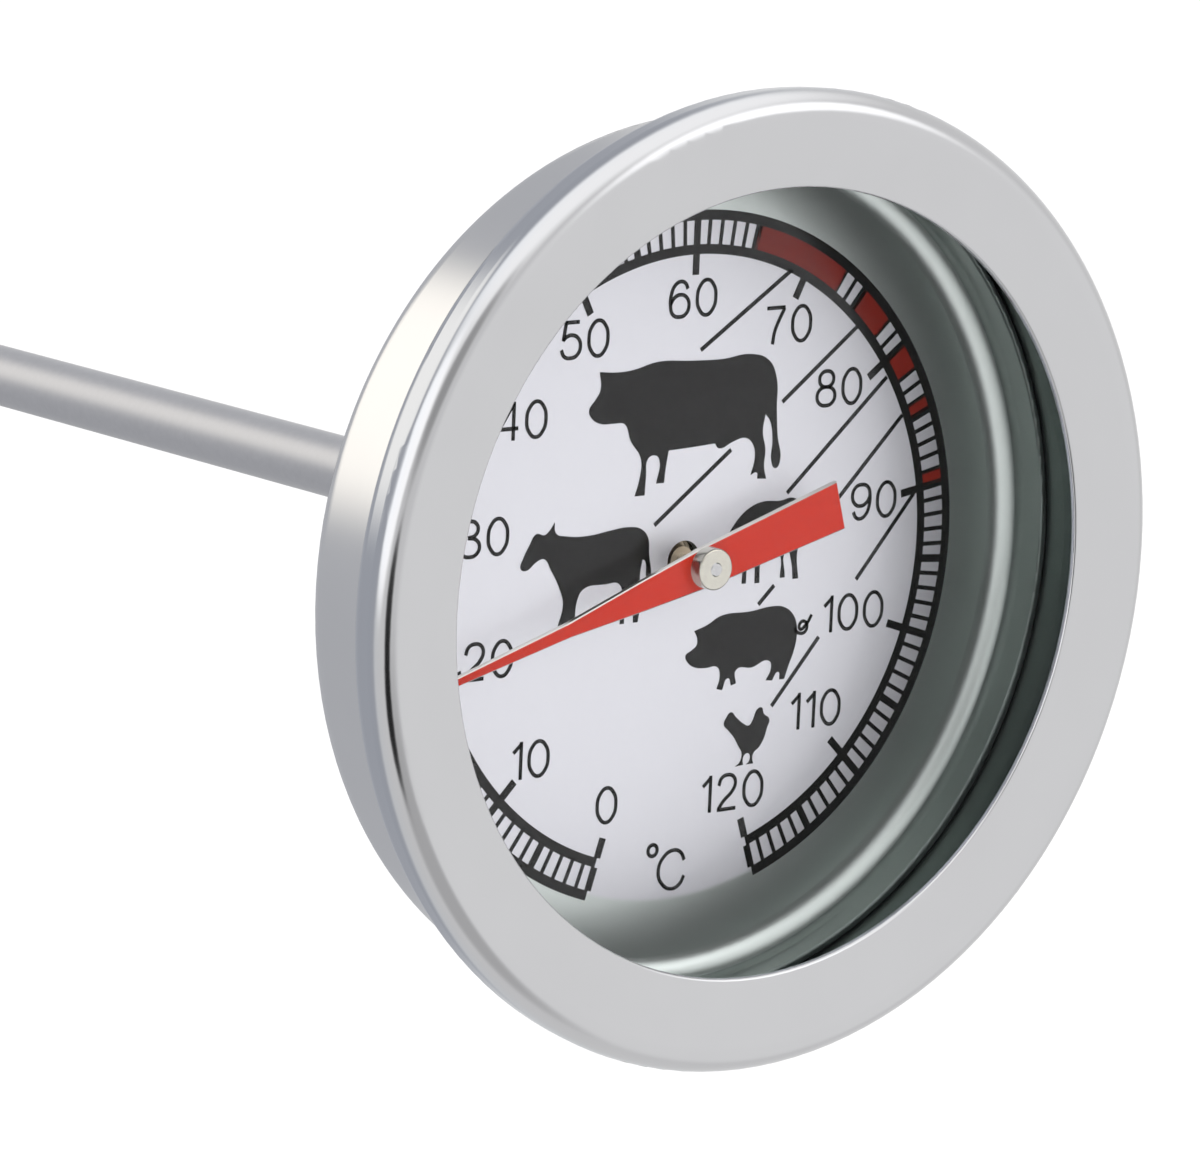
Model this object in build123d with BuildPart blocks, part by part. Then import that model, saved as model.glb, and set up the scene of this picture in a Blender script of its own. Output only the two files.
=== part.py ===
"""Dial meat thermometer: a drawn steel case with a crimped bezel and glass, a printed dial pan, and a
bimetal coil in a pointed probe stem that turns the pointer through a long spindle.

Frame: millimetres. The spindle axis is Y. The dial faces -Y with 12 o'clock at +Z, and the stem runs
along +Y from Y = 0, the plane where it leaves its socket behind the case.
"""
import os

from build123d import *

os.makedirs("parts", exist_ok=True)

# Socket that carries the stem in the case back
SOCKET_NECK_LENGTH = 2.5
SOCKET_NECK_R = 2.6
SOCKET_FLANGE_R = 4.2
SOCKET_FLANGE_T = 0.28
SOCKET_CHAMFER = 0.3
SPIGOT_LENGTH = 3.0
FIT_GAP = 0.02

# Case: a cup drawn from sheet, with a rim that the bezel is crimped around
SHEET = 0.5
CASE_BACK_Y = -SOCKET_NECK_LENGTH
FLOOR_Y = CASE_BACK_Y - SHEET
CUP_R = 25.1
CUP_EDGE_R = 1.6
RIM_R = 26.3
RIM_BACK_Y = CASE_BACK_Y - 7.4
RIM_FRONT_Y = RIM_BACK_Y - SHEET
CUP_INNER_R = CUP_R - SHEET

# Bezel: a spun ring with a slightly dished face around the window
BEZEL_R = 27.5
BEZEL_TAPER = 0.3
BEZEL_FRONT_Y = CASE_BACK_Y - 10.5
BEZEL_BACK_Y = CASE_BACK_Y - 6.9
BEZEL_SHEET = 0.45
WINDOW_R = 22.0
LIP_Y = CASE_BACK_Y - 9.6
FACE_EDGE_R = 1.3
CURL_R = 1.2
CRIMP_R = 25.35

# Window glass between two gaskets
GASKET_T = 0.2
LENS_T = 1.0
LENS_R = 26.2
LENS_BACK_Y = RIM_FRONT_Y - GASKET_T
LENS_FRONT_Y = LENS_BACK_Y - LENS_T
GASKET_INNER_R = 23.2
GASKET_OUTER_R = 26.4

# Dial: a shallow pan with an upturned rim, glued down on a pad
DIAL_T = 0.4
DIAL_PAD_T = 0.3
DIAL_BACK_Y = FLOOR_Y - DIAL_PAD_T
DIAL_FACE_Y = DIAL_BACK_Y - DIAL_T
DIAL_R = CUP_INNER_R - 0.05
DIAL_INNER_CORNER_R = 1.5
DIAL_RIM_H = 3.0
DIAL_HOLE_R = 1.15
DIAL_PAD_R = 22.5

# Pointer, its hub and the spindle
POINTER_T = 0.3
POINTER_BACK_Y = DIAL_FACE_Y - 1.8
POINTER_FRONT_Y = POINTER_BACK_Y - POINTER_T
POINTER_TIP_R = 18.3
POINTER_TIP_HALF_W = 0.23
POINTER_TAIL_R = 10.0
POINTER_TILT = 15.8
POINTER_BARE_EDGE = 0.06
HUB_R = 1.18
HUB_SHOULDER_R = 0.95
HUB_NECK_R = 0.7
HUB_SHOULDER_T = 0.6
HUB_BOSS_T = 0.8
HUB_FRONT_Y = POINTER_FRONT_Y - HUB_BOSS_T
SPINDLE_R = 0.4
SPINDLE_PROUD = 0.06
RUN_CLEARANCE = 0.05

# Probe stem: a tube pushed over the socket's spigot and brazed to it
STEM_R = 1.9
STEM_TIP_EDGE_R = 0.35
STEM_WALL = 0.3
STEM_BORE_R = STEM_R - STEM_WALL
STEM_END_Y = 102.0
TIP_LENGTH = 6.0
TIP_NOSE_R = 0.45
TIP_SPIGOT_LENGTH = 2.0

# Guides, collars and the bimetal coil
TOP_GUIDE_R = 1.25
TOP_GUIDE_FRONT_Y = -2.4
TOP_GUIDE_BACK_Y = -1.6
COLLAR_R = 0.8
COLLAR_LENGTH = {"front": 1.05, "rear": 0.4}
COLLAR_PLAY = 0.1
STEM_GUIDE_Y = {"upper": 20.0, "lower": 42.0}
STEM_GUIDE_LENGTH = 2.0
COIL_START_Y = 58.0
COIL_LENGTH = 38.0
COIL_PITCH = 2.0
COIL_R = 1.2
STRIP_WIDTH = 1.4
STRIP_T = 0.16
ARBOR_R = 1.1
ARBOR_LENGTH = 4.0
ANCHOR_LENGTH = 2.0

SPINDLE_END_Y = COIL_START_Y + ARBOR_LENGTH / 2


def save(part, name):
    """Label a finished solid and write its STEP file."""
    part.label = name
    export_step(part, f"parts/{name}.step")


# ---- Case cup: flat back, rounded edge, straight wall and an outward rim ----
with BuildPart() as case_cup:
    with BuildSketch(Plane.XY):
        with BuildLine():
            FilletPolyline(
                (SOCKET_NECK_R + FIT_GAP, CASE_BACK_Y),
                (CUP_R, CASE_BACK_Y),
                (CUP_R, RIM_BACK_Y),
                (RIM_R, RIM_BACK_Y),
                (RIM_R, RIM_FRONT_Y),
                (CUP_INNER_R, RIM_FRONT_Y),
                (CUP_INNER_R, FLOOR_Y),
                (SOCKET_NECK_R + FIT_GAP, FLOOR_Y),
                radius=(0, CUP_EDGE_R, 0.2, 0.12, 0.12, 0.2 + SHEET, CUP_EDGE_R - SHEET, 0),
                close=True,
            )
        make_face()
    revolve(axis=Axis.Y)
save(case_cup.part, "case_cup")

# ---- Bezel ring: dished face, rounded outer edge, tapered wall and the crimp behind the rim ----
inner_front_y = BEZEL_FRONT_Y + BEZEL_SHEET + 0.1
with BuildPart() as bezel_ring:
    with BuildSketch(Plane.XY):
        with BuildLine():
            FilletPolyline(
                (WINDOW_R, LIP_Y),
                (BEZEL_R, BEZEL_FRONT_Y),
                (BEZEL_R - BEZEL_TAPER, BEZEL_BACK_Y),
                (CRIMP_R, BEZEL_BACK_Y),
                (CRIMP_R, RIM_BACK_Y + 0.05),
                (RIM_R + 0.35, RIM_BACK_Y + 0.05),
                (BEZEL_R - BEZEL_SHEET - 0.2, inner_front_y),
                (WINDOW_R, LIP_Y + BEZEL_SHEET),
                radius=(0.18, FACE_EDGE_R, CURL_R, 0.15, 0.15, 0.3, 0.7, 0.18),
                close=True,
            )
        make_face()
    revolve(axis=Axis.Y)
save(bezel_ring.part, "bezel_ring")

# ---- Window glass: a flat disc with eased edges ----
with BuildPart() as lens:
    with BuildSketch(Plane.XZ.offset(-LENS_BACK_Y)):
        Circle(LENS_R)
    extrude(amount=LENS_T)
    chamfer(lens.edges().filter_by(GeomType.CIRCLE), 0.12)
save(lens.part, "lens")

# ---- Rear gasket: a flat ring on the rim, under the glass ----
with BuildPart() as rear_gasket:
    with BuildSketch(Plane.XZ.offset(-RIM_FRONT_Y)):
        Circle(RIM_R - 0.1)
        Circle(CUP_INNER_R + 0.5, mode=Mode.SUBTRACT)
    extrude(amount=GASKET_T)
save(rear_gasket.part, "rear_gasket")

# ---- Front gasket: a wedge ring that fills the dish between the glass and the bezel face ----
dish_slope = (LIP_Y + BEZEL_SHEET - inner_front_y) / (BEZEL_R - BEZEL_SHEET - 0.2 - WINDOW_R)
gasket_gap = LIP_Y + BEZEL_SHEET + 2 * FIT_GAP
gasket_inner_front_y = gasket_gap - dish_slope * (GASKET_INNER_R - WINDOW_R)
gasket_outer_front_y = gasket_gap - dish_slope * (GASKET_OUTER_R - 0.5 - WINDOW_R)
with BuildPart() as front_gasket:
    with BuildSketch(Plane.XY):
        with BuildLine():
            Polyline(
                (GASKET_INNER_R, LENS_FRONT_Y),
                (GASKET_OUTER_R, LENS_FRONT_Y),
                (GASKET_OUTER_R - 0.1, LENS_FRONT_Y - 0.25),
                (GASKET_OUTER_R - 0.5, gasket_outer_front_y),
                (GASKET_INNER_R, gasket_inner_front_y),
                close=True,
            )
        make_face()
    revolve(axis=Axis.Y)
save(front_gasket.part, "front_gasket")

# ---- Dial plate: a pan with a small centre hole ----
with BuildPart() as dial_plate:
    with BuildSketch(Plane.XY):
        with BuildLine():
            FilletPolyline(
                (DIAL_HOLE_R, DIAL_BACK_Y),
                (DIAL_R, DIAL_BACK_Y),
                (DIAL_R, DIAL_FACE_Y - DIAL_RIM_H),
                (DIAL_R - DIAL_T, DIAL_FACE_Y - DIAL_RIM_H),
                (DIAL_R - DIAL_T, DIAL_FACE_Y),
                (DIAL_HOLE_R, DIAL_FACE_Y),
                radius=(0, DIAL_INNER_CORNER_R + DIAL_T, 0.08, 0.15, DIAL_INNER_CORNER_R, 0),
                close=True,
            )
        make_face()
    revolve(axis=Axis.Y)
save(dial_plate.part, "dial_plate")

# ---- Dial pad: the double-sided foam disc under the dial, around the socket's flange ----
with BuildPart() as dial_pad:
    with BuildSketch(Plane.XZ.offset(-FLOOR_Y)):
        Circle(DIAL_PAD_R)
        Circle(SOCKET_FLANGE_R + 0.3, mode=Mode.SUBTRACT)
    extrude(amount=DIAL_PAD_T)
save(dial_pad.part, "dial_pad")

# ---- Pointer: a flat blade with a broad tail and a needle point, and a hole for the hub ----
pointer_plane = Plane(
    origin=(0, POINTER_BACK_Y, 0),
    x_dir=Vector(-1, 0, 0).rotate(Axis.Y, -POINTER_TILT),
    z_dir=(0, -1, 0),
)
blade_upper_edge = (
    (-POINTER_TAIL_R, 1.44),
    (0, 1.18),
    (4.7, 0.86),
    (9.9, 0.42),
    (POINTER_TIP_R, POINTER_TIP_HALF_W),
)
blade_lower_edge = tuple((x, -y) for x, y in reversed(blade_upper_edge))
with BuildPart() as pointer:
    with BuildSketch(pointer_plane):
        with BuildLine():
            Polyline(*blade_upper_edge, *blade_lower_edge, close=True)
        make_face()
        Circle(HUB_NECK_R, mode=Mode.SUBTRACT)
    extrude(amount=POINTER_T)
    front_outline = pointer.faces().sort_by(Axis.Y)[0].outer_wire().edges()
    chamfer(front_outline, POINTER_BARE_EDGE)
save(pointer.part, "pointer")

# ---- Pointer hub: a turned bush riveted through the blade, pressed on the spindle ----
with BuildPart() as pointer_hub:
    with BuildSketch(Plane.XY):
        with BuildLine():
            FilletPolyline(
                (SPINDLE_R, POINTER_BACK_Y + HUB_SHOULDER_T),
                (HUB_SHOULDER_R, POINTER_BACK_Y + HUB_SHOULDER_T),
                (HUB_SHOULDER_R, POINTER_BACK_Y),
                (HUB_NECK_R - FIT_GAP, POINTER_BACK_Y),
                (HUB_NECK_R - FIT_GAP, POINTER_FRONT_Y),
                (HUB_R, POINTER_FRONT_Y),
                (HUB_R, HUB_FRONT_Y),
                (SPINDLE_R, HUB_FRONT_Y),
                radius=(0, 0.1, 0, 0, 0, 0, 0.12, 0),
                close=True,
            )
        make_face()
    revolve(axis=Axis.Y)
save(pointer_hub.part, "pointer_hub")

# ---- Spindle: a straight wire from the hub down to the coil ----
with BuildPart() as spindle:
    with BuildSketch(Plane.XZ.offset(-SPINDLE_END_Y)):
        Circle(SPINDLE_R)
    extrude(amount=SPINDLE_END_Y - HUB_FRONT_Y + SPINDLE_PROUD)
    chamfer(spindle.edges().filter_by(GeomType.CIRCLE), 0.06)
save(spindle.part, "spindle")

# ---- Stem socket: flange inside the case, neck out through its back, spigot for the stem, guide bore ----
with BuildPart() as stem_socket:
    with BuildSketch(Plane.XY):
        with BuildLine():
            Polyline(
                (TOP_GUIDE_R + FIT_GAP, FLOOR_Y - SOCKET_FLANGE_T),
                (SOCKET_FLANGE_R, FLOOR_Y - SOCKET_FLANGE_T),
                (SOCKET_FLANGE_R, FLOOR_Y),
                (SOCKET_NECK_R, FLOOR_Y),
                (SOCKET_NECK_R, -SOCKET_CHAMFER),
                (SOCKET_NECK_R - SOCKET_CHAMFER, 0),
                (STEM_BORE_R - FIT_GAP, 0),
                (STEM_BORE_R - FIT_GAP, SPIGOT_LENGTH),
                (TOP_GUIDE_R + FIT_GAP, SPIGOT_LENGTH),
                close=True,
            )
        make_face()
    revolve(axis=Axis.Y)
save(stem_socket.part, "stem_socket")

# ---- Top guide: a brass bearing pressed into the socket's bore ----
with BuildPart() as top_guide:
    with BuildSketch(Plane.XZ.offset(-TOP_GUIDE_BACK_Y)):
        Circle(TOP_GUIDE_R)
        Circle(SPINDLE_R + RUN_CLEARANCE, mode=Mode.SUBTRACT)
    extrude(amount=TOP_GUIDE_BACK_Y - TOP_GUIDE_FRONT_Y)
save(top_guide.part, "top_guide")

# ---- Thrust collars: one each side of the top guide, pressed on the spindle ----
collar_back_y = {
    "front": TOP_GUIDE_FRONT_Y - COLLAR_PLAY,
    "rear": TOP_GUIDE_BACK_Y + COLLAR_PLAY + COLLAR_LENGTH["rear"],
}
for side, back_y in collar_back_y.items():
    with BuildPart() as thrust_collar:
        with BuildSketch(Plane.XZ.offset(-back_y)):
            Circle(COLLAR_R)
            Circle(SPINDLE_R, mode=Mode.SUBTRACT)
        extrude(amount=COLLAR_LENGTH[side])
    save(thrust_collar.part, f"thrust_collar_{side}")

# ---- Stem guides: bearings along the tube that keep the spindle straight ----
for place, middle_y in STEM_GUIDE_Y.items():
    with BuildPart() as stem_guide:
        with BuildSketch(Plane.XZ.offset(-middle_y - STEM_GUIDE_LENGTH / 2)):
            Circle(STEM_BORE_R - FIT_GAP)
            Circle(SPINDLE_R + RUN_CLEARANCE, mode=Mode.SUBTRACT)
        extrude(amount=STEM_GUIDE_LENGTH)
    save(stem_guide.part, f"stem_guide_{place}")

# ---- Stem tube: straight from Y = 0 to the tip, necked down where it is pressed in the socket ----
with BuildPart() as stem_tube:
    with BuildSketch(Plane.XZ.offset(-STEM_END_Y)):
        Circle(STEM_R)
        Circle(STEM_BORE_R, mode=Mode.SUBTRACT)
    extrude(amount=STEM_END_Y)
save(stem_tube.part, "stem_tube")

# ---- Stem tip: a pointed plug with a spigot in the tube ----
with BuildPart() as stem_tip:
    with BuildSketch(Plane.XY):
        with BuildLine():
            Polyline(
                (0, STEM_END_Y - TIP_SPIGOT_LENGTH),
                (STEM_BORE_R - FIT_GAP, STEM_END_Y - TIP_SPIGOT_LENGTH),
                (STEM_BORE_R - FIT_GAP, STEM_END_Y),
                (STEM_R, STEM_END_Y),
                (TIP_NOSE_R, STEM_END_Y + TIP_LENGTH),
                (0, STEM_END_Y + TIP_LENGTH),
                close=True,
            )
        make_face()
    revolve(axis=Axis.Y)
    fillet(stem_tip.edges().filter_by(GeomType.CIRCLE).sort_by(Axis.Y)[-1], STEM_TIP_EDGE_R)
save(stem_tip.part, "stem_tip")

# ---- Bimetal coil: a flat strip wound in a helix ----
with BuildPart() as bimetal_coil:
    with BuildLine():
        wound_line = Helix(
            pitch=COIL_PITCH,
            height=COIL_LENGTH,
            radius=COIL_R,
            center=(0, COIL_START_Y, 0),
            direction=(0, 1, 0),
        )
    with BuildSketch(Plane(origin=wound_line @ 0, z_dir=wound_line % 0)):
        Rectangle(STRIP_WIDTH, STRIP_T)
    sweep(is_frenet=True)
save(bimetal_coil.part, "bimetal_coil")

# ---- Coil collar: joins the top of the coil to the spindle ----
with BuildPart() as coil_collar:
    with BuildSketch(Plane.XZ.offset(-COIL_START_Y - ARBOR_LENGTH / 2)):
        Circle(ARBOR_R)
    extrude(amount=ARBOR_LENGTH)
    with BuildSketch(Plane.XZ.offset(-SPINDLE_END_Y)):
        Circle(SPINDLE_R)
    extrude(amount=ARBOR_LENGTH, mode=Mode.SUBTRACT)
save(coil_collar.part, "coil_collar")

# ---- Anchor plug: fixes the bottom of the coil in the tube ----
anchor_start_y = COIL_START_Y + COIL_LENGTH + STRIP_WIDTH
with BuildPart() as anchor_plug:
    with BuildSketch(Plane.XZ.offset(-anchor_start_y - ANCHOR_LENGTH)):
        Circle(STEM_BORE_R - FIT_GAP)
    extrude(amount=ANCHOR_LENGTH)
    with BuildSketch(Plane.XZ.offset(-anchor_start_y)):
        Circle(ARBOR_R)
    extrude(amount=ARBOR_LENGTH)
save(anchor_plug.part, "anchor_plug")
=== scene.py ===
"""Looks of the dial meat thermometer: steel, glass and gasket finishes, the printed dial, the enamelled
pointer, the wound bimetal coil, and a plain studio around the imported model."""
import math

import bpy
from mathutils import Matrix, Quaternion, Vector


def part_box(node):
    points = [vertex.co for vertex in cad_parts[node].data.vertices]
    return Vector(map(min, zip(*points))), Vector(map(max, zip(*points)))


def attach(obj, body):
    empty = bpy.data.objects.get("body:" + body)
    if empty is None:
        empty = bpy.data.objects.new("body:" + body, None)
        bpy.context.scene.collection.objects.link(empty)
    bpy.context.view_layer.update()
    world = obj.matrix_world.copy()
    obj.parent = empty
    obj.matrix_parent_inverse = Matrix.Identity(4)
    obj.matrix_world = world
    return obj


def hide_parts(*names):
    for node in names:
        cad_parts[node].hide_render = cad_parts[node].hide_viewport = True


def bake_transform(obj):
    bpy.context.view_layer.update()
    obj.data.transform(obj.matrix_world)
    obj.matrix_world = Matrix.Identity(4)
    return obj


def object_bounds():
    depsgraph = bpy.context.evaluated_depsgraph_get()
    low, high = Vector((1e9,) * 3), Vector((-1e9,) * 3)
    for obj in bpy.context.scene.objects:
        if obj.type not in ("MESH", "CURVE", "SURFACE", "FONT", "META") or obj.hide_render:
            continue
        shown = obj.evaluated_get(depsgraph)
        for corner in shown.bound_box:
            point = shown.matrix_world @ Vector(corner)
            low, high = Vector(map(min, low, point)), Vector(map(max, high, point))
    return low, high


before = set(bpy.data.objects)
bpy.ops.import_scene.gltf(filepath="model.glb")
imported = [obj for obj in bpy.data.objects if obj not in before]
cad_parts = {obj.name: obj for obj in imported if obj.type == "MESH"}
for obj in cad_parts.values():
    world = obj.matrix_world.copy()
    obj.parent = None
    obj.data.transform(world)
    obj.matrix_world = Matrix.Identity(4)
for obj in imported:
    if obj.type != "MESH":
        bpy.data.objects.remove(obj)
cad_low, cad_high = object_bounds()

# ---------------------------------------------------------------- sizes and places
MM = 0.001

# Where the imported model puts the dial's face, and the case's inner wall, floor and ledge, in metres
DIAL_SHEET = 0.4 * MM
DIAL_FACE_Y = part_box("dial_plate")[1].y - DIAL_SHEET
CASE_INNER_R = 24.85 * MM
CASE_FLOOR_Y = -2.75 * MM
CASE_LEDGE_Y = -9.0 * MM

# The ink's thickness, the gap at which its points are one, and how finely its curves are divided
INK = 0.02 * MM
WELD_GAP = 0.002 * MM
RIBBON_STEPS = 6
OUTLINE_STEPS = 5

# The printed scale: bearings are clockwise from 12 o'clock, and the scale reads 0 to 120 degrees Celsius
SCALE_START = -162.0
SCALE_TOP = 120
DEGREE_STEP = 2.7
RING_STEPS = 400
INNER_ARC = (17.25, 17.8)
OUTER_ARC = (19.15, 19.72)
LONG_TICK_R = 16.1
FINE_LINE = 0.25
BOLD_LINE = 0.46
GUIDE_LINE = 0.25

# Red bands of the scale: the doneness ranges that the animals stand for, in degrees Celsius
RED_BANDS = ((65, 73), (75, 78), (80, 82), (84, 85), (89, 90))

# Numerals: the middle of each number on the dial, in millimetres
NUMERALS = {
    "0": (-4.8, -13.45),
    "10": (-10.3, -10.25),
    "20": (-13.5, -4.35),
    "30": (-14.1, 2.5),
    "40": (-11.75, 8.8),
    "50": (-7.65, 13.0),
    "60": (-0.1, 14.8),
    "70": (6.9, 12.9),
    "80": (10.85, 9.05),
    "90": (13.85, 2.3),
    "100": (12.7, -4.05),
    "110": (10.2, -9.5),
    "120": (4.3, -13.65),
}

# Strokes of the numerals: a thin upright face drawn for this dial, in millimetres from its lower left
GLYPH_WIDTH = 1.32
GLYPH_HEIGHT = 1.98
GLYPH_GAP = 0.58
GLYPH_STROKE = 0.22
SIX = [(1.2, 1.55), (1.02, 1.86), (0.68, 1.98), (0.26, 1.76), (0.03, 1.25), (0.0, 0.7), (0.17, 0.18),
       (0.66, 0.0), (1.14, 0.17), (1.32, 0.62), (1.14, 1.06), (0.7, 1.24), (0.24, 1.07), (0.02, 0.74)]
GLYPHS = {
    "0": [[(0.66, 1.98), (1.18, 1.6), (1.32, 0.99), (1.18, 0.38), (0.66, 0.0), (0.14, 0.38), (0.0, 0.99),
           (0.14, 1.6), (0.66, 1.98)]],
    "1": [[(0.0, 1.46), (0.54, 1.92)], [(0.54, 2.06), (0.54, -0.08)]],
    "2": [[(0.04, 1.4), (0.22, 1.82), (0.66, 1.98), (1.1, 1.83), (1.25, 1.45), (1.02, 0.98), (0.44, 0.5),
           (0.04, 0.02)], [(-0.03, 0.0), (1.32, 0.0)]],
    "3": [[(0.06, 1.52), (0.24, 1.85), (0.63, 1.98), (1.04, 1.84), (1.19, 1.51), (1.0, 1.18), (0.52, 1.06)],
          [(0.52, 1.06), (1.06, 0.93), (1.32, 0.54), (1.12, 0.13), (0.64, 0.0), (0.2, 0.13), (0.0, 0.48)]],
    "4": [[(1.0, -0.08), (1.0, 2.06)], [(1.0, 1.98), (0.02, 0.58)], [(-0.05, 0.58), (1.32, 0.58)]],
    "5": [[(1.2, 1.98), (0.24, 1.98)], [(0.3, 2.04), (0.12, 0.98)],
          [(0.1, 1.0), (0.36, 1.2), (0.72, 1.27), (1.15, 1.07), (1.32, 0.64), (1.13, 0.17), (0.64, 0.0),
           (0.2, 0.12), (0.0, 0.48)]],
    "6": [SIX],
    "7": [[(0.0, 1.98), (1.32, 1.98)], [(1.28, 1.94), (0.86, 1.2), (0.6, 0.6), (0.48, -0.08)]],
    "8": [[(0.66, 1.98), (1.05, 1.84), (1.18, 1.52), (1.05, 1.2), (0.66, 1.07), (0.27, 1.2), (0.14, 1.52),
           (0.27, 1.84), (0.66, 1.98)],
          [(0.66, 1.07), (1.14, 0.92), (1.32, 0.54), (1.14, 0.15), (0.66, 0.0), (0.18, 0.15), (0.0, 0.54),
           (0.18, 0.92), (0.66, 1.07)]],
    "9": [[(GLYPH_WIDTH - x, GLYPH_HEIGHT - y) for x, y in SIX]],
}

# The unit under the scale: a small ring and a capital C, in millimetres on the dial
UNIT_MARK = [
    [(-1.35, -16.12), (-1.02, -16.45), (-1.35, -16.78), (-1.68, -16.45), (-1.35, -16.12)],
    [(0.98, -17.25), (0.72, -16.8), (0.2, -16.6), (-0.5, -16.9), (-0.88, -17.72), (-0.55, -18.5),
     (0.15, -18.83), (0.72, -18.6), (1.0, -18.15)],
]

# Lines that lead from the scale to the animals, as pairs of points in millimetres
GUIDE_LINES = (
    ((7.0, 16.0), (0.6, 11.85)),
    ((12.0, 12.45), (6.7, 8.5)),
    ((3.1, 6.05), (-2.2, 2.2)),
    ((14.4, 9.4), (7.35, 3.25)),
    ((15.7, 7.1), (8.7, 0.2)),
    ((6.7, -2.0), (5.6, -3.0)),
    ((16.9, 2.5), (12.8, -2.2)),
    ((10.2, -5.3), (6.9, -9.0)),
)

# Outlines of the farm animals, in millimetres on the dial. A point that ends in SHARP is a corner, and the
# line runs smoothly through the others
SHARP = "sharp"
BULL = (
    (-6.5, 11.1, SHARP), (-5.3, 11.0), (-4.2, 11.05), (-2.4, 11.4), (0.0, 11.3), (2.3, 11.25), (4.2, 11.4),
    (5.6, 10.95), (6.2, 9.9), (6.3, 8.2), (6.45, 6.6), (6.7, 5.1), (6.4, 4.75), (6.1, 5.1), (6.1, 6.4),
    (5.85, 7.5), (5.5, 7.9, SHARP), (5.35, 6.9), (5.6, 5.9), (5.55, 4.9), (5.75, 4.2, SHARP),
    (5.1, 4.25, SHARP), (5.05, 4.6), (4.6, 4.5, SHARP), (4.85, 5.4), (4.7, 6.2), (4.1, 6.65), (3.2, 6.5),
    (2.2, 6.2), (1.9, 6.5, SHARP), (0.0, 6.4), (-1.4, 6.35, SHARP), (-1.55, 5.5), (-1.65, 4.55, SHARP),
    (-2.2, 4.55, SHARP), (-2.05, 5.9), (-2.4, 6.15), (-2.85, 6.0), (-2.95, 5.0), (-3.0, 3.95, SHARP),
    (-3.7, 3.95, SHARP), (-3.4, 4.9), (-3.35, 6.0), (-4.15, 7.1), (-4.6, 8.05), (-5.4, 8.15), (-6.3, 8.2),
    (-6.95, 8.55), (-7.15, 9.0), (-6.7, 9.6), (-6.4, 10.1),
)
CALF = (
    (-10.5, 2.4), (-9.9, 2.3), (-9.55, 2.55), (-9.25, 2.95, SHARP), (-9.15, 2.35), (-8.4, 2.1), (-6.8, 2.0),
    (-5.4, 2.15), (-4.0, 2.25), (-3.1, 2.05), (-2.6, 1.5), (-2.5, 0.6), (-2.3, -0.6), (-2.45, -1.3, SHARP),
    (-2.65, -0.6), (-2.75, 0.2), (-2.95, 0.35, SHARP), (-3.1, -0.6), (-2.95, -1.9), (-3.12, -3.2, SHARP),
    (-3.45, -3.2, SHARP), (-3.5, -2.2), (-3.7, -1.3), (-4.1, -3.2, SHARP), (-4.4, -3.2, SHARP),
    (-4.3, -1.9), (-4.5, -0.95), (-5.6, -0.85), (-7.1, -1.0), (-7.45, -1.5), (-7.6, -2.8, SHARP),
    (-8.75, -2.9, SHARP), (-8.45, -1.7), (-8.7, -0.9), (-9.4, 0.3), (-9.9, 0.95), (-10.4, 0.85),
    (-11.15, 0.4), (-11.5, 0.55), (-11.35, 1.1), (-10.95, 1.8),
)
SHEEP = (
    (3.45, 1.6), (3.9, 2.1), (4.6, 2.6), (5.6, 2.9), (6.9, 2.85), (7.8, 2.95), (8.5, 2.5), (8.8, 1.5),
    (8.6, 0.6), (8.3, -0.2), (8.45, -1.75, SHARP), (8.05, -1.75, SHARP), (7.85, -0.6), (7.55, -0.1),
    (7.45, -1.6, SHARP), (7.1, -1.6, SHARP), (7.05, -0.3), (6.6, 0.1), (5.8, 0.0), (5.6, -0.6),
    (5.6, -1.75, SHARP), (5.25, -1.75, SHARP), (5.15, -0.5), (4.85, 0.1), (4.65, -0.6), (4.6, -1.7, SHARP),
    (4.3, -1.7, SHARP), (4.2, -0.4), (3.8, -0.1), (3.3, 0.0), (2.9, 0.2), (2.4, -0.15), (1.85, -0.3),
    (1.65, 0.0), (1.9, 0.45), (2.3, 0.8), (2.55, 1.15, SHARP), (2.9, 1.0), (3.15, 1.2),
)
PIG = (
    (1.25, -4.6), (1.0, -4.1, SHARP), (1.9, -3.85), (2.9, -3.4), (5.0, -3.35), (6.9, -3.2), (7.6, -3.35),
    (8.2, -3.8), (8.5, -4.4), (8.55, -5.1), (8.35, -6.0), (8.05, -6.7), (7.75, -7.5, SHARP),
    (7.4, -7.5, SHARP), (7.3, -7.05), (6.85, -7.5, SHARP), (6.4, -7.45, SHARP), (6.75, -6.75),
    (6.6, -6.35), (5.3, -6.6), (4.15, -6.65), (4.2, -7.4, SHARP), (3.85, -7.5, SHARP), (3.6, -7.05),
    (3.2, -7.7, SHARP), (2.8, -7.6, SHARP), (3.0, -6.9), (2.8, -6.35), (1.9, -6.3), (1.15, -6.2),
    (0.6, -5.85), (0.45, -5.45), (0.85, -5.2), (1.2, -4.95),
)
PIG_TAIL = ((8.3, -4.6), (8.75, -4.95), (9.2, -4.85), (9.22, -4.4), (8.85, -4.3), (8.75, -4.7), (9.2, -4.5),
            (9.6, -3.95))
PIG_TAIL_LINE = 0.2
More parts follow.
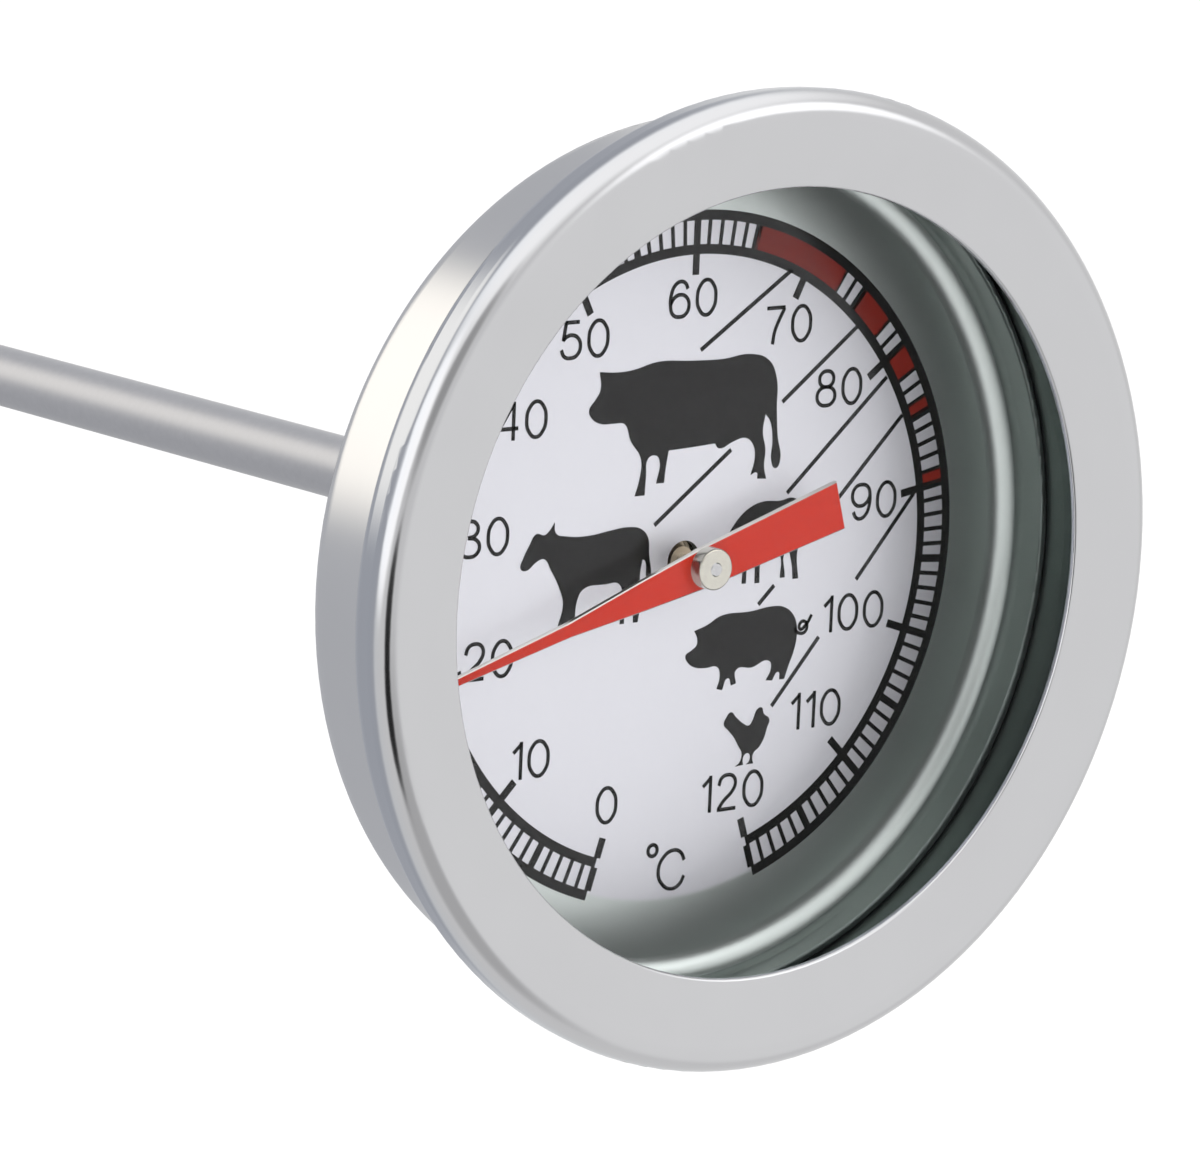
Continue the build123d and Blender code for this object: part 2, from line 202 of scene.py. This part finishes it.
HEN = (
    (3.95, -9.05), (4.3, -9.35), (4.9, -9.8), (5.3, -9.95), (5.55, -9.7), (5.9, -9.05), (6.2, -9.0),
    (6.35, -9.35), (6.8, -9.75), (6.65, -10.2), (6.45, -10.8), (6.1, -11.3), (5.75, -11.55),
    (5.65, -11.9), (5.75, -12.2, SHARP), (5.2, -12.2, SHARP), (5.45, -12.0), (5.4, -11.6), (5.1, -11.6),
    (4.95, -11.9), (5.0, -12.2, SHARP), (4.4, -12.25, SHARP), (4.75, -12.0), (4.85, -11.5), (4.6, -11.1),
    (4.2, -10.5), (3.8, -10.1), (3.45, -9.7), (3.6, -9.35),
)

# The bimetal strip, wound round the spindle's axis inside the stem, in millimetres
COIL_START_Y = 58.0
COIL_PITCH = 2.0
COIL_TURNS = 19
COIL_R = 1.2
STRIP = (0.16, 1.4)
STRIP_EDGE_R = 0.04
COIL_STEPS = 40

# Steel: a rolling mill leaves a broad, faint mottle in the sheet. The lathe's and spinning tool's lines are
# really about 0.03 mm apart, and are drawn coarser so that they show
MOTTLE = 6.0
TOOL_LINE = 0.12
TOOL_LINE_DEPTH = 0.003
# The inside of the case is painted this dark green grey: painted shade that stands in for the shade within
# the case
CASE_WALL_SHADE = "#505855"
WALL_ROUGHNESS = 0.26
# The bezel's faces turned away from the front are painted a bluer grey between these turns: painted shade on
# its sides
SIDE_SHADE_TURN = (-0.6, -0.1)

# The dial's sheet: matted over the printed disc, smoother in the margin, bent up at the rim. The margin is
# painted a greener grey and the rim a darker grey, both as painted shade near the case wall. A
# turn is how far a face has turned away from the dial's front, from -1 where it looks straight forward
DIAL_WHITES = ("#dfdfe4", "#e6e6ea")
MATTING_GRAIN = 0.25
MATTING_DEPTH = 0.002
MATTED_ROUGHNESS = (0.48, 0.55)
MATTED_R = 19.5
MATTED_FADE = 0.3
MARGIN_ROUGHNESS = 0.36
# The margin's greener grey is painted shade near the case wall, and the rim's darker grey is painted shade in
# the case's recess
MARGIN_SHADE_COLOUR = "#d3dad6"
DIAL_RIM_SHADE = "#6b7470"
RIM_TURN = (-0.85, -0.3)
RIM_LIP_R = 24.0

# Glass, ink and enamel. Real glass and ink have an IOR near 1.5, and theirs are lower, because a studio tent
# would otherwise lay a grey haze over the dark print
WINDOW_IOR = 1.12
INK_IOR = 1.4
BARE_EDGE_TURN = -0.95
UNMIRRORED_SHARE = 0.75

# The camera, and the floor below the object
CAMERA_AZIMUTH = math.radians(-38.80)
CAMERA_ELEVATION = math.radians(10.93)
CAMERA_ROLL = math.radians(2.31)
CAMERA_DISTANCE = 354.7 * MM
CAMERA_CLIP = 0.01
AIM = Vector((-3.85, -1.29, -0.92)) * MM
LENS = 190.98
FLOOR_DROP = 60 * MM
FLOOR_SIZE = 12.0

# The light tent: soft panels and dark gaps round the object, each with its azimuth, elevation, the angles
# from its middle where it is full and where it ends, its strength, and its tint
TENT_LEVEL = 0.85
TENT_PANELS = (
    (39, -11, 25, 50, 1.0, "#ffffff"),
    (40, 24, 9, 22, 1.9, "#ffffff"),
    (0, 85, 30, 60, 1.4, "#ffffff"),
    (-85, 20, 20, 32, 1.6, "#ffffff"),
    (-160, 0, 45, 62, 0.56, "#f6f8ff"),
    (178, 42, 18, 40, 0.56, "#f6f8ff"),
    (-149, 24, 14, 26, 1.45, "#fffbf5"),
    (-12, -42, 15, 35, 0.6, "#ffffff"),
    (-31, 27, 8, 22, 0.45, "#ffffff"),
    (-40, -9, 9, 16, 0.03, "#ffffff"),
    (-42, -24, 9, 16, 0.02, "#ffffff"),
)

# ---------------------------------------------------------------- helpers for nodes and meshes


def hex_colour(code, strength=1.0):
    """An sRGB hex colour as the linear values that sockets take, made lighter or darker by a strength."""
    values = [int(code[i : i + 2], 16) / 255 for i in (1, 3, 5)]
    linear = [v / 12.92 if v <= 0.04045 else ((v + 0.055) / 1.055) ** 2.4 for v in values]
    return [v * strength for v in linear] + [1]


def add_node(tree, kind, values=None, links=None, **settings):
    """Adds one node: settings are its properties, values its own sockets, and links what feeds them."""
    made = tree.nodes.new("ShaderNode" + kind)
    for name, setting in settings.items():
        setattr(made, name, setting)
    for name, value in (values or {}).items():
        made.inputs[name].default_value = value
    for name, source in (links or {}).items():
        tree.links.new(source, made.inputs[name])
    return made


def new_material(name):
    """An empty node material and its tree."""
    made = bpy.data.materials.new(name)
    made.use_nodes = True
    made.node_tree.nodes.clear()
    return made, made.node_tree


def finish_material(tree, shader):
    """Sends a shader to the surface output."""
    add_node(tree, "OutputMaterial", links={"Surface": shader.outputs[0]})


def radius_from_axis(tree, place):
    """How far a point lies from the stem's axis."""
    flat = add_node(tree, "VectorMath", {1: (1, 0, 1)}, {0: place}, operation="MULTIPLY")
    return add_node(tree, "VectorMath", links={0: flat.outputs[0]}, operation="LENGTH").outputs["Value"]


def pick(*objects):
    """Leaves only these objects selected, with the first one active."""
    bpy.ops.object.select_all(action="DESELECT")
    for obj in objects:
        obj.select_set(True)
    bpy.context.view_layer.objects.active = objects[0]


def apply_modifier(obj, kind, **settings):
    """Adds a modifier and applies it at once."""
    pick(obj)
    made = obj.modifiers.new(kind.title(), kind)
    for name, setting in settings.items():
        setattr(made, name, setting)
    bpy.ops.object.modifier_apply(modifier=made.name)


def join(name, objects):
    """Joins objects into one piece with a name."""
    pick(*objects)
    if len(objects) > 1:
        bpy.ops.object.join()
    objects[0].name = name
    return objects[0]


def turned_copy(obj, bearing):
    """A copy with its own mesh, turned clockwise about the dial's centre."""
    copy = obj.copy()
    copy.data = obj.data.copy()
    copy.data.transform(Matrix.Rotation(-math.radians(bearing), 4, "Z"))
    bpy.context.scene.collection.objects.link(copy)
    return copy


# ---------------------------------------------------------------- the flat print, drawn in X and Y


def ring_sector(radii, start, end):
    """A flat band between two radii and two bearings, cut from a whole ring."""
    inner, outer = radii
    bpy.ops.object.select_all(action="DESELECT")
    bpy.ops.mesh.primitive_circle_add(vertices=RING_STEPS, radius=inner * MM)
    ring = bpy.context.object
    bpy.ops.object.mode_set(mode="EDIT")
    bpy.ops.mesh.select_mode(type="EDGE")
    bpy.ops.mesh.select_all(action="SELECT")
    bpy.ops.mesh.extrude_edges_move()
    bpy.ops.transform.resize(value=(outer / inner, outer / inner, 1))
    bpy.ops.mesh.select_mode(type="FACE")
    bpy.ops.mesh.select_all(action="DESELECT")
    bpy.ops.object.mode_set(mode="OBJECT")
    for face in ring.data.polygons:
        bearing = math.degrees(math.atan2(face.center.x, face.center.y))
        face.select = not start < bearing < end
    bpy.ops.object.mode_set(mode="EDIT")
    bpy.ops.mesh.delete(type="FACE")
    bpy.ops.object.mode_set(mode="OBJECT")
    return ring


def stroke(start, end, width):
    """A straight flat line between two points, in millimetres."""
    a, b = Vector(start) * MM, Vector(end) * MM
    along, middle = b - a, (a + b) / 2
    bpy.ops.object.select_all(action="DESELECT")
    bpy.ops.mesh.primitive_plane_add(size=1)
    line = bpy.context.object
    line.scale = (along.length, width * MM, 1)
    line.rotation_euler.z = math.atan2(along.y, along.x)
    line.location = (middle.x, middle.y, 0)
    bpy.ops.object.transform_apply(location=True, rotation=True, scale=True)
    return line


def ribbon(strokes, width):
    """Flat lines of one width along smooth paths. A path is its points; a closed one repeats its first."""
    bpy.ops.object.select_all(action="DESELECT")
    bpy.ops.curve.primitive_bezier_curve_add()
    lines = bpy.context.object
    lines.data.extrude = width / 2 * MM
    lines.data.twist_mode = "Z_UP"
    lines.data.resolution_u = RIBBON_STEPS
    lines.data.splines.clear()
    for points in strokes:
        closed = points[0] == points[-1]
        knots = points[:-1] if closed else points
        spline = lines.data.splines.new("BEZIER")
        spline.use_cyclic_u = closed
        spline.bezier_points.add(len(knots) - 1)
        for knot, (x, y) in zip(spline.bezier_points, knots):
            knot.co = (x * MM, y * MM, 0)
            knot.handle_left_type = knot.handle_right_type = "AUTO"
            knot.tilt = math.pi / 2
    bpy.ops.object.convert(target="MESH")
    return lines


def number_strokes(text, centre):
    """The strokes of a whole number, centred on a point of the dial."""
    widths = [max(x for path in GLYPHS[sign] for x, _ in path) for sign in text]
    left = centre[0] - (sum(widths) + GLYPH_GAP * (len(text) - 1)) / 2
    bottom = centre[1] - GLYPH_HEIGHT / 2
    strokes = []
    for sign, width in zip(text, widths):
        for path in GLYPHS[sign]:
            strokes.append([(left + x, bottom + y) for x, y in path])
        left += width + GLYPH_GAP
    return strokes


def silhouette(points):
    """A filled flat outline. A point is round, or sharp where it ends in SHARP."""
    bpy.ops.object.select_all(action="DESELECT")
    bpy.ops.curve.primitive_bezier_circle_add()
    outline = bpy.context.object
    outline.data.dimensions = "2D"
    outline.data.fill_mode = "BOTH"
    outline.data.resolution_u = OUTLINE_STEPS
    spline = outline.data.splines[0]
    spline.bezier_points.add(len(points) - len(spline.bezier_points))
    for knot, point in zip(spline.bezier_points, points):
        knot.co = (point[0] * MM, point[1] * MM, 0)
        kind = "VECTOR" if point[-1] == SHARP else "AUTO"
        knot.handle_left_type = kind
        knot.handle_right_type = kind
    bpy.ops.object.convert(target="MESH")
    return outline


def lay_print(name, objects, finish):
    """Joins flat shapes, gives them the ink's thickness and lays them on the dial."""
    piece = join(name, objects)
    apply_modifier(piece, "WELD", merge_threshold=WELD_GAP)
    for face in piece.data.polygons:
        face.select = face.normal.z < 0
    bpy.ops.object.mode_set(mode="EDIT")
    bpy.ops.mesh.select_mode(type="FACE")
    bpy.ops.mesh.flip_normals()
    bpy.ops.object.mode_set(mode="OBJECT")
    apply_modifier(piece, "SOLIDIFY", thickness=INK, offset=1.0)
    to_dial = Matrix.Translation((0, DIAL_FACE_Y, 0)) @ Matrix.Rotation(math.radians(90), 4, "X")
    piece.data.transform(to_dial)
    piece.data.materials.clear()
    piece.data.materials.append(finish)
    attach(piece, "case")
    return piece


# ---------------------------------------------------------------- materials


def spun_steel(name, colour, roughness, line_strength, inner_shade_colour=None, side_shade_colour=None):
    """Stainless steel turned on a lathe or spun: rings of fine tool lines round the dial's axis soften
    every reflection, and a faint mottle keeps wide faces from looking like paint. With an inner shade colour,
    the inside of the case is painted a dark grey, as painted shade within the case. With a side shade colour,
    the faces turned away from the front are painted a bluer grey, as painted shade on the sides."""
    made, tree = new_material(name)
    coordinates = add_node(tree, "TexCoord")
    place = coordinates.outputs["Object"]
    radius = radius_from_axis(tree, place)
    along = add_node(tree, "SeparateXYZ", links={0: place})
    rings = add_node(tree, "CombineXYZ", links={"X": radius, "Y": along.outputs["Y"]})
    lines = add_node(
        tree, "TexNoise", {"Scale": 1 / (TOOL_LINE * MM), "Detail": 2.0, "Roughness": 0.6},
        {"Vector": rings.outputs[0]},
    )
    mottle = add_node(tree, "TexNoise", {"Scale": 1 / (MOTTLE * MM), "Detail": 3.0}, {"Vector": place})
    tone = add_node(
        tree, "MixRGB", {"Color1": hex_colour(colour, 0.95), "Color2": hex_colour(colour)},
        {"Fac": mottle.outputs["Fac"]},
    )
    spread = add_node(
        tree, "MapRange", {"To Min": roughness - 0.03, "To Max": roughness + 0.03},
        {"Value": lines.outputs["Fac"]},
    )
    colour_out, roughness_out = tone.outputs[0], spread.outputs[0]
    # Painted shade: inside the case the steel is painted the dark wall colour, with its own roughness
    if inner_shade_colour:
        within = add_node(tree, "Math", {1: CASE_INNER_R}, {0: radius}, operation="LESS_THAN")
        before = add_node(tree, "Math", {1: CASE_FLOOR_Y}, {0: along.outputs["Y"]}, operation="LESS_THAN")
        bowl = add_node(tree, "Math", links={0: within.outputs[0], 1: before.outputs[0]}, operation="MINIMUM")
        ahead = add_node(tree, "Math", {1: CASE_LEDGE_Y}, {0: along.outputs["Y"]}, operation="LESS_THAN")
        inside = add_node(tree, "Math", links={0: bowl.outputs[0], 1: ahead.outputs[0]}, operation="MAXIMUM")
        inside = inside.outputs[0]
        painted_shade = add_node(
            tree, "MixRGB", {"Color2": hex_colour(inner_shade_colour)}, {"Fac": inside, "Color1": colour_out}
        )
        rough = add_node(tree, "Mix", {3: WALL_ROUGHNESS}, {0: inside, 2: roughness_out}, data_type="FLOAT")
        colour_out, roughness_out = painted_shade.outputs[0], rough.outputs[0]
    # Painted shade: the faces turned away from the front are painted a bluer grey
    if side_shade_colour:
        facing = add_node(tree, "SeparateXYZ", links={0: coordinates.outputs["Normal"]})
        side = add_node(
            tree, "MapRange", {"From Min": SIDE_SHADE_TURN[0], "From Max": SIDE_SHADE_TURN[1]},
            {"Value": facing.outputs["Y"]},
        )
        shaded_sides = add_node(
            tree, "MixRGB", {"Color2": hex_colour(side_shade_colour)},
            {"Fac": side.outputs[0], "Color1": colour_out},
        )
        colour_out = shaded_sides.outputs[0]
    relief = add_node(
        tree, "Bump", {"Strength": line_strength, "Distance": TOOL_LINE_DEPTH * MM},
        {"Height": lines.outputs["Fac"]},
    )
    steel = add_node(
        tree, "BsdfPrincipled", {"Metallic": 1.0},
        {"Base Color": colour_out, "Roughness": roughness_out, "Normal": relief.outputs[0]},
    )
    finish_material(tree, steel)
    return made


def lacquered_dial():
    """Aluminium sheet, chemically matted to a silver white and clear lacquered: the metal below scatters
    the light widely, and the lacquer above adds a faint sharp gloss. Outside the scale the sheet is less
    matted, so it mirrors the case softly, and it is painted a greener grey as painted shade near the case
    wall. Its drawn rim is painted a darker grey still, as painted shade in the case's recess."""
    made, tree = new_material("lacquered_silver_white_aluminium")
    coordinates = add_node(tree, "TexCoord")
    place = coordinates.outputs["Object"]
    radius = radius_from_axis(tree, place)
    matting = add_node(
        tree, "TexNoise", {"Scale": 1 / (MATTING_GRAIN * MM), "Detail": 3.0}, {"Vector": place}
    )
    tone = add_node(
        tree, "MixRGB", {"Color1": hex_colour(DIAL_WHITES[0]), "Color2": hex_colour(DIAL_WHITES[1])},
        {"Fac": matting.outputs["Fac"]},
    )
    spread = add_node(
        tree, "MapRange", {"To Min": MATTED_ROUGHNESS[0], "To Max": MATTED_ROUGHNESS[1]},
        {"Value": matting.outputs["Fac"]},
    )
    facing = add_node(tree, "SeparateXYZ", links={0: coordinates.outputs["Normal"]})
    bend = add_node(
        tree, "MapRange", {"From Min": RIM_TURN[0], "From Max": RIM_TURN[1]}, {"Value": facing.outputs["Y"]}
    )
    lip = add_node(tree, "Math", {1: RIM_LIP_R * MM}, {0: radius}, operation="GREATER_THAN")
    rim = add_node(tree, "Math", links={0: bend.outputs[0], 1: lip.outputs[0]}, operation="MAXIMUM")
    margin = add_node(
        tree, "MapRange", {"From Min": (MATTED_R - MATTED_FADE) * MM, "From Max": MATTED_R * MM},
        {"Value": radius},
    )
    rough = add_node(
        tree, "Mix", {3: MARGIN_ROUGHNESS}, {0: margin.outputs[0], 2: spread.outputs[0]}, data_type="FLOAT"
    )
    # Painted shade: the margin beyond the scale is painted a greener grey
    face = add_node(
        tree, "MixRGB", {"Color2": hex_colour(MARGIN_SHADE_COLOUR)},
        {"Fac": margin.outputs[0], "Color1": tone.outputs[0]},
    )
    # Painted shade: the bent-up rim and the sheet beyond its lip are painted a darker grey
    colour = add_node(
        tree, "MixRGB", {"Color2": hex_colour(DIAL_RIM_SHADE)}, {"Fac": rim.outputs[0], "Color1": face.outputs[0]}
    )
    relief = add_node(
        tree, "Bump", {"Strength": 0.15, "Distance": MATTING_DEPTH * MM}, {"Height": matting.outputs["Fac"]}
    )
    sheet = add_node(
        tree, "BsdfPrincipled", {"Metallic": 1.0, "Coat Weight": 0.5, "Coat Roughness": 0.05},
        {"Base Color": colour.outputs[0], "Roughness": rough.outputs[0], "Normal": relief.outputs[0]},
    )
    finish_material(tree, sheet)
    return made


def clear_glass():
    """Flat window glass, float made and polished: clear, and so clean that it shows almost no glare, which
    its low IOR gives. Shadow rays pass straight through it, so that the dial is lit as behind a window."""
    made, tree = new_material("window_float_glass")
    glass = add_node(
        tree, "BsdfPrincipled",
        {
            "Base Color": hex_colour("#fcfcfd"), "Roughness": 0.0, "IOR": WINDOW_IOR,
            "Transmission Weight": 1.0,
        },
    )
    open_way = add_node(tree, "BsdfTransparent", {"Color": hex_colour("#fafafb")})
    rays = add_node(tree, "LightPath")
    mix = add_node(
        tree, "MixShader",
        links={0: rays.outputs["Is Shadow Ray"], 1: glass.outputs[0], 2: open_way.outputs[0]},
    )
    finish_material(tree, mix)
    return made


def grained(tree, place, colour, roughness, metallic, grain_mm, grain_depth_mm, variation, ior=1.5):
    """One surface with a fine grain and a little variation in tone."""
    grain = add_node(tree, "TexNoise", {"Scale": 1 / (grain_mm * MM), "Detail": 3.0}, {"Vector": place})
    tone = add_node(
        tree, "MixRGB",
        {"Color1": hex_colour(colour, 1 - variation), "Color2": hex_colour(colour, 1 + variation)},
        {"Fac": grain.outputs["Fac"]},
    )
    spread = add_node(
        tree, "MapRange", {"To Min": roughness * 0.9, "To Max": roughness * 1.1},
        {"Value": grain.outputs["Fac"]},
    )
    relief = add_node(
        tree, "Bump", {"Strength": 0.5, "Distance": grain_depth_mm * MM}, {"Height": grain.outputs["Fac"]}
    )
    return add_node(
        tree, "BsdfPrincipled", {"Metallic": metallic, "IOR": ior},
        {"Base Color": tone.outputs[0], "Roughness": spread.outputs[0], "Normal": relief.outputs[0]},
    )


def plain_finish(
    name, colour, roughness, metallic=0.0, grain_mm=0.4, grain_depth_mm=0.002, variation=0.06, ior=1.5
):
    """A moulded, printed, turned or drawn surface with its own grain."""
    made, tree = new_material(name)
    place = add_node(tree, "TexCoord").outputs["Object"]
    surface = grained(tree, place, colour, roughness, metallic, grain_mm, grain_depth_mm, variation, ior)
    finish_material(tree, surface)
    return made


def enamelled_pointer():
    """Aluminium strip, enamelled red on its front before it is blanked: the cut edges stay bare metal. Most
    reflection rays pass it, because the smooth lacquer of the dial would otherwise mirror it as a dark band,
    which a matted sheet doesn't do."""
    made, tree = new_material("red_enamelled_aluminium")
    coordinates = add_node(tree, "TexCoord")
    place = coordinates.outputs["Object"]
    enamel = grained(tree, place, "#cb2a14", 0.15, 0.0, 0.5, 0.002, 0.05, INK_IOR)
    bare = grained(tree, place, "#dddad4", 0.3, 1.0, 0.15, 0.002, 0.06)
    facing = add_node(tree, "SeparateXYZ", links={0: coordinates.outputs["Normal"]})
    edge = add_node(tree, "Math", {1: BARE_EDGE_TURN}, {0: facing.outputs["Y"]}, operation="GREATER_THAN")
    mix = add_node(tree, "MixShader", links={0: edge.outputs[0], 1: enamel.outputs[0], 2: bare.outputs[0]})
    through = add_node(tree, "BsdfTransparent")
    rays = add_node(tree, "LightPath").outputs["Is Reflection Ray"]
    share = add_node(tree, "Math", {1: UNMIRRORED_SHARE}, {0: rays}, operation="MULTIPLY")
    soft = add_node(tree, "MixShader", links={0: share.outputs[0], 1: mix.outputs[0], 2: through.outputs[0]})
    finish_material(tree, soft)
    return made


# The case's inside is painted dark, as painted shade
case_finish = spun_steel("drawn_stainless_case", "#e0e0e0", 0.2, 0.15, CASE_WALL_SHADE)
# The bezel's sides are painted a bluer grey, as painted shade
bezel_finish = spun_steel("spun_stainless_bezel", "#cdcdcf", 0.15, 0.12, side_shade_colour="#c5c8cd")
dial_finish = lacquered_dial()
stem_finish = plain_finish("drawn_stainless_stem", "#cacacc", 0.45, 1.0)
glass_finish = clear_glass()
gasket_finish = plain_finish("moulded_black_rubber", "#191a19", 0.7)
ink_finish = plain_finish("screen_printed_black_ink", "#0c0c0b", 0.12, ior=INK_IOR)
red_ink_finish = plain_finish("screen_printed_dark_red_ink", "#801a0e", 0.2, ior=INK_IOR)
foam_finish = plain_finish("closed_cell_foam", "#d8d8cf", 0.85)
pointer_finish = enamelled_pointer()
hub_finish = plain_finish("nickel_plated_brass_hub", "#d0cdc2", 0.14, 1.0)
spindle_finish = plain_finish("drawn_stainless_wire", "#c8c8c8", 0.25, 1.0)
brass_finish = plain_finish("turned_brass", "#c8b9a0", 0.35, 1.0)
ptfe_finish = plain_finish("turned_ptfe", "#e9e9e4", 0.6)
bimetal_finish = plain_finish("rolled_bimetal_strip", "#9b958c", 0.35, 1.0)

CAD_FINISHES = {
    "case_cup": case_finish,
    "stem_socket": case_finish,
    "bezel_ring": bezel_finish,
    "lens": glass_finish,
    "rear_gasket": gasket_finish,
    "front_gasket": gasket_finish,
    "dial_pad": foam_finish,
    "dial_plate": dial_finish,
    "pointer": pointer_finish,
    "pointer_hub": hub_finish,
    "spindle": spindle_finish,
    "thrust_collar_front": brass_finish,
    "thrust_collar_rear": brass_finish,
    "coil_collar": brass_finish,
    "anchor_plug": brass_finish,
    "top_guide": brass_finish,
    "stem_guide_upper": ptfe_finish,
    "stem_guide_lower": ptfe_finish,
    "bimetal_coil": bimetal_finish,
    "stem_tube": stem_finish,
    "stem_tip": stem_finish,
}
for node_name, finish in CAD_FINISHES.items():
    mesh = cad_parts[node_name].data
    if not mesh.materials:
        mesh.materials.append(finish)
    for i in range(len(mesh.materials)):
        mesh.materials[i] = finish

# ---------------------------------------------------------------- the printed dial


def bearing_of(degree):
    """Where a temperature stands on the scale."""
    return SCALE_START + degree * DEGREE_STEP


scale = [
    ring_sector(INNER_ARC, SCALE_START, -SCALE_START),
    ring_sector(OUTER_ARC, SCALE_START, -SCALE_START),
]
fine_tick = stroke((0, INNER_ARC[1]), (0, OUTER_ARC[0]), FINE_LINE)
bold_tick = stroke((0, INNER_ARC[1]), (0, OUTER_ARC[0]), BOLD_LINE)
long_tick = stroke((0, LONG_TICK_R), (0, INNER_ARC[0]), BOLD_LINE)
for degree in range(SCALE_TOP + 1):
    if not any(low < degree < high for low, high in RED_BANDS):
        scale.append(turned_copy(fine_tick if degree % 5 else bold_tick, bearing_of(degree)))
    if degree % 10 == 0:
        scale.append(turned_copy(long_tick, bearing_of(degree)))
for model in (fine_tick, bold_tick, long_tick):
    bpy.data.objects.remove(model)
lay_print("dial_scale", scale, ink_finish)

band = (INNER_ARC[1], OUTER_ARC[0])
bands = [ring_sector(band, bearing_of(low), bearing_of(high)) for low, high in RED_BANDS]
lay_print("dial_red_bands", bands, red_ink_finish)

numbers = [ribbon(number_strokes(text, place), GLYPH_STROKE) for text, place in NUMERALS.items()]
lay_print("dial_numerals", numbers, ink_finish)
lay_print("dial_unit_mark", [ribbon(UNIT_MARK, GLYPH_STROKE)], ink_finish)
lay_print("dial_guide_lines", [stroke(a, b, GUIDE_LINE) for a, b in GUIDE_LINES], ink_finish)

for name, outline in (("bull", BULL), ("calf", CALF), ("sheep", SHEEP), ("hen", HEN)):
    lay_print("dial_" + name, [silhouette(outline)], ink_finish)
lay_print("dial_pig", [silhouette(PIG), ribbon([PIG_TAIL], PIG_TAIL_LINE)], ink_finish)

# ---------------------------------------------------------------- the bimetal coil


def bimetal_coil():
    """The strip's cross section, screwed round the stem's axis into one still coil. In the thermometer it
    unwinds as the spindle turns: its lower end stays on the case and its upper end goes with the pointer."""
    bpy.ops.object.select_all(action="DESELECT")
    bpy.ops.mesh.primitive_plane_add(size=1)
    coil = bpy.context.object
    coil.name = "wound_bimetal_strip"
    coil.scale = (STRIP[0] * MM, STRIP[1] * MM, 1)
    bpy.ops.object.transform_apply(location=False, rotation=False, scale=True)
    bpy.ops.object.mode_set(mode="EDIT")
    bpy.ops.mesh.select_all(action="SELECT")
    bpy.ops.mesh.bevel(offset=STRIP_EDGE_R * MM, segments=2, affect="VERTICES")
    bpy.ops.mesh.delete(type="ONLY_FACE")
    bpy.ops.object.mode_set(mode="OBJECT")
    section = Matrix.Translation((COIL_R * MM, 0, 0)) @ Matrix.Rotation(math.radians(90), 4, "X")
    coil.data.transform(section)
    apply_modifier(
        coil, "SCREW", axis="Z", angle=2 * math.pi, screw_offset=COIL_PITCH * MM, iterations=COIL_TURNS,
        steps=COIL_STEPS, render_steps=COIL_STEPS, use_merge_vertices=True, merge_threshold=0.001 * MM,
    )
    bpy.ops.object.mode_set(mode="EDIT")
    bpy.ops.mesh.select_mode(type="EDGE")
    bpy.ops.mesh.select_all(action="DESELECT")
    bpy.ops.mesh.select_non_manifold()
    bpy.ops.mesh.edge_face_add()
    bpy.ops.mesh.select_all(action="SELECT")
    bpy.ops.mesh.normals_make_consistent(inside=False)
    bpy.ops.object.mode_set(mode="OBJECT")
    bpy.ops.object.shade_smooth_by_angle(angle=math.radians(40))
    along_stem = Matrix.Translation((0, COIL_START_Y * MM, 0)) @ Matrix.Rotation(math.radians(-90), 4, "X")
    coil.data.transform(along_stem)
    coil.data.materials.append(bimetal_finish)
    return coil


coil = bimetal_coil()
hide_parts("bimetal_coil")
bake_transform(coil)

# ---------------------------------------------------------------- studio and camera


def towards(azimuth, elevation):
    """The direction at an azimuth from the dial's front, clockwise from above, and an elevation."""
    level = math.cos(elevation)
    return Vector((math.sin(azimuth) * level, -math.cos(azimuth) * level, math.sin(elevation)))


bpy.ops.object.camera_add()
camera = bpy.context.object
camera.name = "studio_camera"
back = towards(CAMERA_AZIMUTH, CAMERA_ELEVATION)
camera.rotation_mode = "QUATERNION"
camera.rotation_quaternion = (-back).to_track_quat("-Z", "Y") @ Quaternion((0, 0, 1), CAMERA_ROLL)
camera.location = AIM + back * CAMERA_DISTANCE
camera.data.lens = LENS
camera.data.clip_start = CAMERA_CLIP
bpy.context.scene.camera = camera

bpy.ops.mesh.primitive_plane_add(size=FLOOR_SIZE, location=(0, 0, cad_low.z - FLOOR_DROP))
floor = bpy.context.object
floor.name = "studio_floor"
floor.data.materials.append(plain_finish("white_sweep_paper", "#fbfbfb", 0.8, grain_mm=4, variation=0.01))
floor.visible_glossy = False

world = bpy.data.worlds.new("studio_tent")
bpy.context.scene.world = world
world.use_nodes = True
tent = world.node_tree
tent.nodes.clear()
direction = add_node(tent, "TexCoord").outputs["Generated"]
light = add_node(tent, "RGB").outputs[0]
light.default_value = (TENT_LEVEL, TENT_LEVEL, TENT_LEVEL, 1)
for azimuth, elevation, full, end, strength, tint in TENT_PANELS:
    centre = towards(math.radians(azimuth), math.radians(elevation))
    nearness = add_node(tent, "VectorMath", {1: centre}, {0: direction}, operation="DOT_PRODUCT")
    edge = add_node(
        tent, "MapRange", {"From Min": math.cos(math.radians(end)), "From Max": math.cos(math.radians(full))},
        {"Value": nearness.outputs["Value"]}, interpolation_type="SMOOTHSTEP",
    )
    panel = hex_colour(tint, strength)
    light = add_node(tent, "MixRGB", {"Color2": panel}, {"Fac": edge.outputs[0], "Color1": light}).outputs[0]
seen = add_node(tent, "LightPath").outputs["Is Camera Ray"]
shown = add_node(tent, "MixRGB", {"Color2": (1, 1, 1, 1)}, {"Fac": seen, "Color1": light})
sky = add_node(tent, "Background", links={"Color": shown.outputs[0]})
add_node(tent, "OutputWorld", links={"Surface": sky.outputs[0]})

bpy.context.scene.view_settings.view_transform = "Standard"
